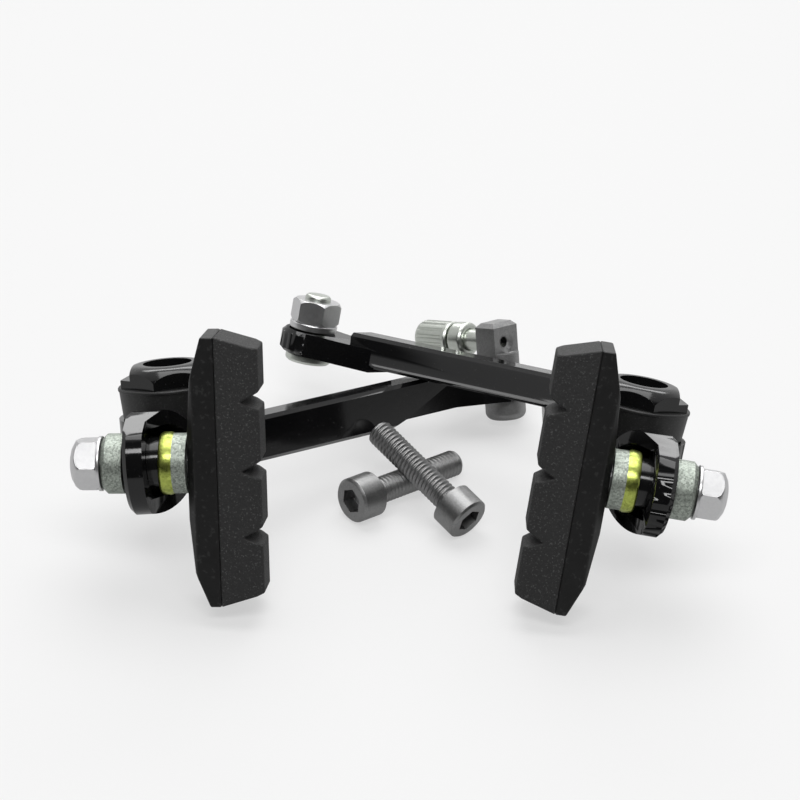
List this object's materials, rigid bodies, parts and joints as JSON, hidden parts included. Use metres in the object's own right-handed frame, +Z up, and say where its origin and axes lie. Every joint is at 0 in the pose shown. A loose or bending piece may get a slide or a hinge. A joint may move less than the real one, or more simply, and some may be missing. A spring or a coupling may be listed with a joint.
{
  "type": "u-brake",
  "caption": "Bicycle rim brake with two cranked arms crossed over each other, sprung pivots, grooved pads on ball-seated studs, a cable anchor and a cable stop with barrel.",
  "frame": {"origin": "centre of the bounding box's footprint, on the surface the brake stands on", "axes": "+X from the left arm's pivot to the right arm's, +Y from the pads toward the cable ends, +Z up"},
  "size_m": [0.136, 0.1063, 0.057],
  "materials": {
    "arm_paint": "gloss black",
    "nut_paint": "gloss black",
    "cover_plastic": "satin black",
    "zinc": "speckled zinc plate",
    "bright_chrome": "bright",
    "steel": "satin",
    "spring_steel": "drawn wire",
    "holder_rubber": "satin black",
    "pad_rubber": "matt charcoal",
    "cast_alloy": "satin grey",
    "machined_alloy": "bright turned"
  },
  "bodies": {
    "arms": {"left_arm": "arm_paint", "right_arm": "arm_paint", "mounting_screws": "bright_chrome"},
    "cable_anchor": {"anchor_bolt": "steel", "anchor_washer": "bright_chrome", "anchor_nut": "bright_chrome"},
    "cable_stop": {"cable_stop": "cast_alloy", "stop_bolt": "cast_alloy"},
    "lock_ring": {"barrel_lock_ring": "machined_alloy"},
    "barrel": {"barrel_adjuster": "machined_alloy"},
    "left_pivot": {"left_pivot_sleeve": "steel", "left_spring": "spring_steel", "left_spring_cover": "cover_plastic", "left_tension_nut": "nut_paint"},
    "left_seat": {"left_inner_dome_washer": "nut_paint", "left_outer_dome_washer": "nut_paint"},
    "left_cups": {"left_inner_cup_washer": "zinc", "left_outer_cup_washer": "zinc"},
    "left_pad": {"left_pad_stud": "steel", "left_flat_washer": "bright_chrome", "left_stud_nut": "bright_chrome", "left_pad_holder": "holder_rubber", "left_friction_block": "pad_rubber"},
    "right_pivot": {"right_pivot_sleeve": "steel", "right_spring": "spring_steel", "right_spring_cover": "cover_plastic", "right_tension_nut": "nut_paint"},
    "right_seat": {"right_inner_dome_washer": "nut_paint", "right_outer_dome_washer": "nut_paint"},
    "right_cups": {"right_inner_cup_washer": "zinc", "right_outer_cup_washer": "zinc"},
    "right_pad": {"right_pad_stud": "steel", "right_flat_washer": "bright_chrome", "right_stud_nut": "bright_chrome", "right_pad_holder": "holder_rubber", "right_friction_block": "pad_rubber"}
  },
  "joints": [
    {"name": "left_pivot_swing", "type": "hinge", "parent": "arms", "child": "left_pivot", "pos_m": [-0.04831, -0.01812, 0.02146], "axis": [-0.1199, 0.375, 0.9193], "range_deg": [-25, 25], "stiffness_Nm_per_rad": 0.3},
    {"name": "left_pad_height", "type": "slide", "parent": "arms", "child": "left_seat", "axis": [0.0503, 0.927, -0.3716], "range_m": [-0.002, 0.0008]},
    {"name": "left_pad_toe", "type": "hinge", "parent": "left_seat", "child": "left_cups", "pos_m": [-0.05365, -0.03619, 0.02813], "axis": [-0.1199, 0.375, 0.9193], "range_deg": [-2.5, 2.5]},
    {"name": "left_pad_turn", "type": "hinge", "parent": "left_cups", "child": "left_pad", "pos_m": [-0.05365, -0.03619, 0.02813], "axis": [0.9958, -0.0305, 0.0861], "range_deg": [-10, 10]},
    {"name": "right_pivot_swing", "type": "hinge", "parent": "arms", "child": "right_pivot", "pos_m": [0.04865, -0.01689, 0.02165], "axis": [0.1325, 0.3538, 0.9259], "range_deg": [-25, 25], "stiffness_Nm_per_rad": 0.3},
    {"name": "right_pad_height", "type": "slide", "parent": "arms", "child": "right_seat", "axis": [-0.0318, 0.9352, -0.3528], "range_m": [-0.002, 0.0008]},
    {"name": "right_pad_toe", "type": "hinge", "parent": "right_seat", "child": "right_cups", "pos_m": [0.05363, -0.0352, 0.02794], "axis": [0.1325, 0.3538, 0.9259], "range_deg": [-2.5, 2.5]},
    {"name": "right_pad_turn", "type": "hinge", "parent": "right_cups", "child": "right_pad", "pos_m": [0.05363, -0.0352, 0.02794], "axis": [-0.9931, 0.0568, 0.1027], "range_deg": [-10, 10]},
    {"name": "anchor_turn", "type": "hinge", "parent": "arms", "child": "cable_anchor", "pos_m": [-0.02235, 0.03622, 0.01238], "axis": [0.1325, 0.3538, 0.9259], "continuous": true},
    {"name": "stop_turn", "type": "hinge", "parent": "arms", "child": "cable_stop", "pos_m": [0.02307, 0.03275, 0.01002], "axis": [-0.1199, 0.375, 0.9193], "range_deg": [-90, 40]},
    {"name": "barrel_travel", "type": "slide", "parent": "cable_stop", "child": "lock_ring", "axis": [-0.7272, 0.5972, -0.3384], "range_m": [-0.0024, 0.0024]},
    {"name": "barrel_turn", "type": "hinge", "parent": "lock_ring", "child": "barrel", "pos_m": [0.02205, 0.03593, 0.01783], "axis": [-0.7272, 0.5972, -0.3384], "range_deg": [-1080, 1080]}
  ],
  "couplings": [
    {"joint": "barrel_travel", "follows": "barrel_turn", "m_per_rad": 0.00012732}
  ]
}
